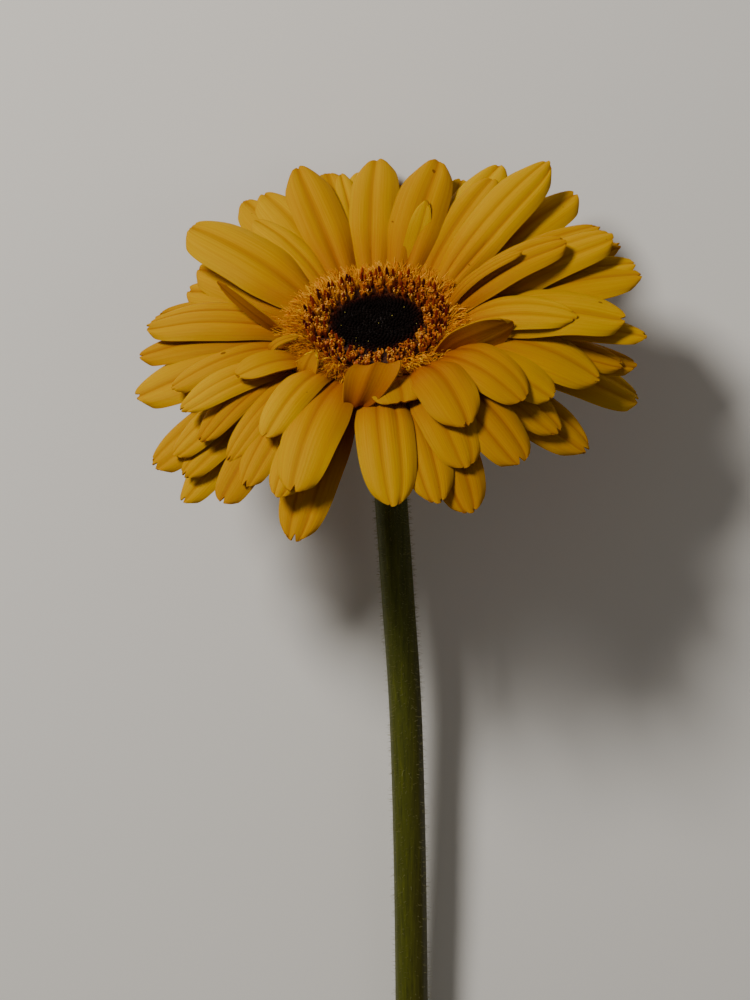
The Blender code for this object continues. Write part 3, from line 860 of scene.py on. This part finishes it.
bm = bmesh.new()
bmesh.ops.create_uvsphere(bm, u_segments=6, v_segments=5, radius=1)
for vertex in bm.verts:
    if vertex.co.z > 0:
        vertex.co.z *= bud_point
bud_pattern = pattern_mesh(bm)
bud_draw = random.Random(41)
bm = toned_mesh()
for step in range(bud_count):
    share = math.sqrt((step + 0.5) / bud_count)
    radius = share * (eye_radius - 0.3) + bud_draw.uniform(-0.1, 0.1)
    size = 0.33 + 0.1 * share + bud_draw.uniform(-0.05, 0.04)
    height = eye_height(share) + bud_draw.uniform(-0.14, 0.14)
    place = (
        Matrix.Rotation(step * golden_angle, 4, "Z")
        @ Matrix.Translation((radius, 0, height))
        @ Matrix.Rotation(math.radians(10 * share + bud_draw.uniform(-8, 8)), 4, "Y")
        @ Matrix.Diagonal((size, size, size * 0.95, 1))
    )
    # The outermost buds are about to open and show some red.
    add_copy(bm, bud_pattern, place, clamped(0.75 * share**5 + bud_draw.uniform(0, 0.25)))
bud_skin = strand_finish(
    "near black bud",
    ((0.0, "#080302"), (0.4, "#0e0504"), (0.75, "#240c06"), (1.0, "#4c1a0a")),
    roughness=0.75,
    gloss=0.06,
)
piece = finished(bm, "eye_buds", (bud_skin,), sharp=80)
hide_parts("disc_eye")

bm = turned_disc(dome_profile, 60)
eye_flesh = plant_flesh("eye dome", "#070303", "#1c0c08", grain=0.4, bump_depth=0.15)
piece = finished(bm, "eye_dome", (eye_flesh,))
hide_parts("disc_eye")

bm = bmesh.new()
bmesh.ops.create_icosphere(bm, subdivisions=1, radius=1)
grain_pattern = pattern_mesh(bm)
bm = toned_mesh()
for _ in range(grain_count):
    turn = bud_draw.uniform(0, 2 * math.pi)
    share = math.sqrt(bud_draw.random()) * 0.95
    size = bud_draw.uniform(0.06, 0.11)
    place = (
        Matrix.Rotation(turn, 4, "Z")
        @ Matrix.Translation((share * eye_radius * 0.95, 0, eye_height(share) + 0.5))
        @ Matrix.Scale(size, 4)
    )
    add_copy(bm, grain_pattern, place, bud_draw.random())
pollen = strand_finish("pollen grain", ((0.0, "#c8b83a"), (1.0, "#efe07a")), roughness=0.8)
piece = finished(bm, "eye_pollen", (pollen,))
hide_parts("disc_eye")

# Involucre
# The head is cupped in green: pointed, downy bracts in overlapping rows, grown on the fleshy bell of the
# receptacle, which narrows to the stem.
bell_profile = (
    (0, -3.8),
    (14.6, -3.8),
    (15.0, -5.2),
    (13.8, -8.0),
    (11.0, -11.0),
    (7.0, -13.6),
    (4.6, -15.4),
    (4.0, -17.1),
    (0, -17.2),
)
bell_middle_height = -12
bract_thickness = 0.45 * mm
# Veins about 0.3 mm apart on a bract 4 mm wide, each most of its length.
bract_veins_across = 14.0
bract_veins_along = 1.2
# Number of bracts, knots of their middle line as (radius, height), and width, from the top row down.
bract_rows = (
    (24, (11.4, -8.6), (17.4, -6.6), (18.9, -2.9), 4.0),
    (22, (8.8, -11.3), (15.6, -9.2), (17.2, -5.4), 3.8),
    (18, (6.2, -13.6), (12.4, -12.0), (14.6, -8.4), 3.5),
    (12, (4.3, -15.6), (8.6, -14.4), (10.6, -11.6), 3.0),
)
bract_draw = random.Random(51)
bm = petal_mesh()
tone = bm.verts.layers.float["tone"]
lies = bm.loops.layers.uv["petal"]
for row, (count, root, bend, tip, width) in enumerate(bract_rows):
    for step in range(count):
        azimuth = 2 * math.pi * (step + bract_draw.uniform(-0.12, 0.12)) / count + row
        shade = bract_draw.random()
        knots = [Vector(knot) for knot in (root, bend, tip)]
        sheet = bmesh.ops.create_grid(bm, x_segments=12, y_segments=6, size=1)["verts"]
        lay_out(sheet, lies)
        facing = Matrix.Rotation(azimuth, 3, "Z")
        for vertex in sheet:
            along = (vertex.co.x + 1) / 2
            across = vertex.co.y
            middle = bent_line(knots, along)
            side = width / 2 * across * (0.75 + 0.25 * eased(along / 0.4)) * (1 - 0.96 * along**2.2)
            ahead = bent_line(knots, min(1.0, along + 0.02)) - bent_line(knots, max(0.0, along - 0.02))
            off_bell = Vector((ahead.y, -ahead.x)).normalized()
            keel = 0.3 * (1 - abs(across)) * (1 - along) - 0.55 * across**2 * (1 - along)
            lifted = middle + off_bell * (keel + 0.25 + 0.5 * shade * along)
            vertex.co = facing @ Vector((lifted.x, side, lifted.y))
            vertex[tone] = shade


def leaf_green(name, base, tip, vein):
    """Downy green leaf: a waxy skin with veins along it, paler at the base and browner at the point."""
    finish, tree, shader = new_finish(name, Roughness=0.6, Specular_IOR_Level=0.2)
    lies = add_node(tree, "ShaderNodeUVMap", {"uv_map": "petal"})
    split = add_node(tree, "ShaderNodeSeparateXYZ", None, {0: lies.outputs[0]})
    length = add_node(tree, "ShaderNodeValToRGB", None, {0: split.outputs["Y"]})
    colour_stops(length, ((0.0, base), (0.75, vein), (1.0, tip)))
    stretched = add_node(
        tree,
        "ShaderNodeMapping",
        None,
        {0: lies.outputs[0], "Scale": (bract_veins_across, bract_veins_along, 1.0)},
    )
    streaks = add_node(
        tree, "ShaderNodeTexNoise", None, {"Vector": stretched.outputs[0], "Scale": 1.0, "Detail": 3.0}
    )
    streaked = add_node(
        tree,
        "ShaderNodeMix",
        {"data_type": "RGBA", "blend_type": "MULTIPLY"},
        {"Factor": streaks.outputs[0], "A": length.outputs[0], "B": linear("#b8b890")},
    )
    tree.links.new(streaked.outputs["Result"], shader.inputs["Base Color"])
    bump = add_node(
        tree,
        "ShaderNodeBump",
        None,
        {"Strength": 0.5, "Distance": 0.15 * mm, "Height": streaks.outputs[0]},
    )
    tree.links.new(bump.outputs[0], shader.inputs["Normal"])
    return finish


# Where a hair may stand on the bracts: each face's middle, in the flower's millimetres, and its outside.
bm.normal_update()
hair_spots = []
for face in bm.faces:
    middle = face.calc_center_median()
    outward = face.normal.copy()
    if outward.dot(Vector((middle.x, middle.y, bell_middle_height))) <= 0:
        outward.negate()
    hair_spots.append((head @ middle / mm, (head.to_3x3() @ outward).normalized()))
bract_green = leaf_green("downy bract", base="#6f7c34", tip="#4c3a1c", vein="#4c601e")
piece = finished(bm, "bracts", (bract_green,), bract_thickness)
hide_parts("involucre")

bell_flesh = plant_flesh("receptacle flesh", "#48561c", "#586824", grain=1.4, bump_depth=0.2)
piece = finished(turned_disc(bell_profile, 72), "receptacle_bell", (bell_flesh,), sharp=60)
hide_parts("involucre")

# Scape
# The bare stem: a fleshy, finely ribbed round stalk without leaves, covered in short pale down, and cut
# aslant with a knife at its lower end. It grows out of the neck of the involucre.
stem_radius = 3.5
# Points down its middle, in millimetres from the head's centre.
stem_route = (
    (1.16, -13.35, -11.25),
    (1.9, -21.5, -16.6),
    (2.8, -33.0, -19.8),
    (4.3, -54.0, -21.5),
    (6.2, -85.0, -23.7),
    (7.3, -141.0, -27.4),
    (7.5, -236.0, -32.3),
)
stem_steps = 20
stem_sides = 40
rib_count = 11
rib_depth = 0.012
# How much wider the top is, and in how many steps it narrows to the stem's own width.
flare = 0.3
flare_steps = 16
slant = math.radians(28)
# The width of the green skin round the pith, on the cut.
green_rim = 0.7


def smooth_route(route, steps):
    """A smooth line through the points of a route, with this many steps from each point to the next."""
    knots = [Vector(point) for point in route]
    ends = [knots[0] * 2 - knots[1], *knots, knots[-1] * 2 - knots[-2]]
    line = []
    for before, start, stop, after in zip(ends, ends[1:], ends[2:], ends[3:]):
        for step in range(steps):
            share = step / steps
            twice = (
                2 * start
                + (stop - before) * share
                + (2 * before - 5 * start + 4 * stop - after) * share**2
                + (3 * start - before - 3 * stop + after) * share**3
            )
            line.append(0.5 * twice)
    return [head_centre + point for point in [*line, knots[-1]]]


def ring_place(line, at):
    """The turn and place of a ring round the stem, with its X kept level."""
    ahead = (line[min(at + 1, len(line) - 1)] - line[max(at - 1, 0)]).normalized()
    level = ahead.cross(Vector((0, 0, 1))).normalized()
    turn = Matrix((level, ahead.cross(level), ahead)).transposed()
    return Matrix.Translation(line[at]) @ turn.to_4x4()


stem_line = smooth_route(stem_route, stem_steps)
bm = bmesh.new()
# The top of the stem widens into the bell.
widths = [1 + flare * max(0.0, 1 - at / flare_steps) ** 2 for at in range(len(stem_line))]
place = ring_place(stem_line, 0)
ring = bmesh.ops.create_circle(bm, cap_ends=True, segments=stem_sides, radius=stem_radius)["verts"]
for vertex in ring:
    turn = math.atan2(vertex.co.y, vertex.co.x)
    vertex.co *= 1 - rib_depth + rib_depth * math.cos(rib_count * turn)
    vertex.co = place @ (vertex.co * widths[0])
face = ring[0].link_faces[0]
for at in range(1, len(stem_line)):
    grown = bmesh.ops.extrude_discrete_faces(bm, faces=[face])["faces"][0]
    widen = Matrix.Scale(widths[at] / widths[at - 1], 4)
    step = ring_place(stem_line, at) @ widen @ ring_place(stem_line, at - 1).inverted()
    bmesh.ops.transform(bm, matrix=step, verts=grown.verts)
    face = grown
stem_end = stem_line[-1]
end_direction = (stem_end - stem_line[-2]).normalized()
cut_direction = Matrix.Rotation(-slant, 3, "X") @ end_direction
cut = bmesh.ops.bisect_plane(
    bm,
    geom=bm.verts[:] + bm.edges[:] + bm.faces[:],
    plane_co=stem_end - end_direction * stem_radius * math.tan(slant),
    plane_no=cut_direction,
    clear_outer=True,
)
rim = [edge for edge in cut["geom_cut"] if isinstance(edge, bmesh.types.BMEdge)]
cut_face = bmesh.ops.contextual_create(bm, geom=rim)["faces"]
bmesh.ops.inset_region(bm, faces=cut_face, thickness=green_rim, depth=0.0)
bmesh.ops.recalc_face_normals(bm, faces=bm.faces)
for face in cut_face:
    face.material_index = 1
bmesh.ops.scale(bm, vec=(mm, mm, mm), verts=bm.verts)

# Fleshy green stalk: a waxy skin with fine lengthwise streaks. Towards its lower right, the side away
# from the window lamp, it turns a darker reddish brown in patches: partly a real flush, partly painted
# shade.
# There are about two streaks to a millimetre, each some 15 mm long, and the brown has 18 mm patches.
streaks_by_mm = 1.9
streak_squeeze = 0.035
patches_by_mm = 0.055
flush_and_shade_from = 3.2
flush_and_shade_to = 7.5
stem_skin, tree, shader = new_finish("ribbed green stalk", Roughness=0.5, Specular_IOR_Level=0.25)
lies = add_node(tree, "ShaderNodeTexCoord")
drawn_out = add_node(
    tree, "ShaderNodeMapping", None, {0: lies.outputs["Object"], "Scale": (1.0, streak_squeeze, 1.0)}
)
streaks = add_node(
    tree,
    "ShaderNodeTexNoise",
    None,
    {"Vector": drawn_out.outputs[0], "Scale": streaks_by_mm / mm, "Detail": 4.0, "Roughness": 0.65},
)
green = add_node(tree, "ShaderNodeValToRGB", None, {0: streaks.outputs[0]})
colour_stops(green, ((0.28, "#383c06"), (0.5, "#484c0a"), (0.74, "#5a5e10")))
patches = add_node(
    tree,
    "ShaderNodeTexNoise",
    None,
    {"Vector": lies.outputs["Object"], "Scale": patches_by_mm / mm, "Detail": 2.0},
)
split = add_node(tree, "ShaderNodeSeparateXYZ", None, {0: lies.outputs["Object"]})
# The reddish brown flush and painted shade grow across the stem's right side, away from the lamp.
right_side = add_node(
    tree,
    "ShaderNodeMapRange",
    None,
    {
        "Value": split.outputs["X"],
        "From Min": flush_and_shade_from * mm,
        "From Max": flush_and_shade_to * mm,
        "To Min": 0.0,
        "To Max": 0.55,
    },
)
flush_and_shade_mask = add_node(
    tree, "ShaderNodeMath", {"operation": "MULTIPLY"}, {0: right_side.outputs[0], 1: patches.outputs[0]}
)
flush_and_shade = add_node(
    tree,
    "ShaderNodeMix",
    {"data_type": "RGBA"},
    {"Factor": flush_and_shade_mask.outputs[0], "A": green.outputs[0], "B": linear("#4a2c0c")},
)
tree.links.new(flush_and_shade.outputs["Result"], shader.inputs["Base Color"])
bump = add_node(
    tree, "ShaderNodeBump", None, {"Strength": 0.4, "Distance": 0.2 * mm, "Height": streaks.outputs[0]}
)
tree.links.new(bump.outputs[0], shader.inputs["Normal"])
pith = plant_flesh("cut pith", "#8d9a5a", "#c3cc96", grain=0.5, bump_depth=0.3, roughness=0.35)
piece = set_down(bm, "stem", (stem_skin, pith), sharp=40)
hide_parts("scape")

# Down
# Short soft hairs, each one cell wide, stand out of the stem's skin and of the bracts. They are drawn
# thicker than in life, so that they catch the light as the pale bloom on a real stem does.
down_count = 5200
stem_hair_radius = 0.035
bract_hair_count = 1800
bract_hair_radius = 0.03
bare_above_cut = 2.5
bm = bmesh.new()
upright = Matrix.Translation((0, 0, 0.5))
bmesh.ops.create_cone(bm, cap_ends=True, segments=3, radius1=1, radius2=0.25, depth=1, matrix=upright)
hair_pattern = pattern_mesh(bm)
down_draw = random.Random(61)


def add_hair(bm, foot, outward, length, thick, droop):
    """One hair on a surface, leaning over towards droop."""
    ahead = (outward + droop).normalized()
    place = Matrix.Translation(foot) @ ahead.to_track_quat("Z", "Y").to_matrix().to_4x4()
    add_copy(bm, hair_pattern, place @ Matrix.Diagonal((thick, thick, length, 1)), down_draw.random())


stem_hairs = toned_mesh()
for _ in range(down_count):
    at = down_draw.uniform(0, len(stem_line) - 1.5)
    spot = int(at)
    place = ring_place(stem_line, spot)
    turn = down_draw.uniform(0, 2 * math.pi)
    outward = (place.to_3x3() @ Vector((math.cos(turn), math.sin(turn), 0))).normalized()
    middle = stem_line[spot].lerp(stem_line[spot + 1], at - spot)
    foot = middle + outward * (stem_radius * widths[spot] - 0.1)
    if (foot - stem_end).dot(cut_direction) > -bare_above_cut:
        continue
    droop = Vector([down_draw.uniform(-0.45, 0.45) for _ in range(3)])
    length = down_draw.uniform(0.45, 1.25)
    # No hair reaches into the surface that the stem's end lies on.
    if foot.z + (outward + droop).normalized().z * length < 0.1:
        continue
    add_hair(stem_hairs, foot, outward, length, stem_hair_radius, droop)
bract_hairs = toned_mesh()
for middle, outward in down_draw.sample(hair_spots, bract_hair_count):
    droop = Vector([down_draw.uniform(-0.5, 0.5) for _ in range(3)])
    length = down_draw.uniform(0.5, 1.2)
    add_hair(bract_hairs, middle + outward * 0.15, outward, length, bract_hair_radius, droop)
down_hair = strand_finish(
    "pale down", ((0.0, "#6c6a30"), (0.5, "#8c8a50"), (1.0, "#aca878")), roughness=0.7
)
for bm, name, material_slot, node in (
    (stem_hairs, "stem_down", "scape_green", "scape"),
    (bract_hairs, "bract_down", "bract_green", "involucre"),
):
    bmesh.ops.scale(bm, vec=(mm, mm, mm), verts=bm.verts)
    piece = set_down(bm, name, (down_hair,))
    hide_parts(node)

# Studio
# A plain pale tabletop with soft daylight from the upper left, seen straight from above, which is how the
# photograph faces the flower.
tabletop_drop = 0.3 * mm
room_glow = 0.12
# The height of the picture at the head and its middle from the head's centre, in millimetres.
picture_height = 205.5
picture_middle = (-0.6, -33.5)
camera_distance = 600
sensor_width = 36
bm = bmesh.new()
bmesh.ops.create_grid(bm, x_segments=1, y_segments=1, size=3.0)
sheet = bpy.data.meshes.new("tabletop")
bm.to_mesh(sheet)
bm.free()
tabletop = bpy.data.objects.new("tabletop", sheet)
tabletop.location.z = -tabletop_drop
bpy.context.collection.objects.link(tabletop)
# Uncoated paper: matt and nearly white, so that it holds soft shadows and mirrors nothing.
paper, _, _ = new_finish(
    "pale paper", Roughness=0.9, Specular_IOR_Level=0.15, Base_Color=linear("#f4f3f0")
)
sheet.materials.append(paper)


def soft_light(name, place, aim, size, power, colour):
    """A round lamp of this size in metres, at a place and aimed at another."""
    light = bpy.data.lights.new(name, "AREA")
    light.shape = "DISK"
    light.size = size
    light.energy = power
    light.color = linear(colour)[:3]
    lamp = bpy.data.objects.new(name, light)
    lamp.location = place
    lamp.rotation_euler = (Vector(aim) - Vector(place)).to_track_quat("-Z", "Y").to_euler()
    bpy.context.collection.objects.link(lamp)


soft_light("window", (-0.5, 0.59, 0.68), aim=(0, 0.06, 0.03), size=0.28, power=8.2, colour="#fffaf2")
soft_light("fill", (0.6, -0.3, 0.9), aim=(0, 0.05, 0.02), size=0.6, power=0.4, colour="#fff6ec")
world = bpy.data.worlds.new("room")
world.use_nodes = True
background = world.node_tree.nodes["Background"]
background.inputs["Color"].default_value = linear("#efe8de")
background.inputs["Strength"].default_value = room_glow
bpy.context.scene.world = world

view_data = bpy.data.cameras.new("photo_view")
view_data.sensor_width = sensor_width
view_data.lens = sensor_width * camera_distance / picture_height
view_data.clip_start = 0.01
photo_view = bpy.data.objects.new("photo_view", view_data)
photo_view.location = (head_centre + Vector((*picture_middle, camera_distance))) * mm
bpy.context.collection.objects.link(photo_view)
bpy.context.scene.camera = photo_view
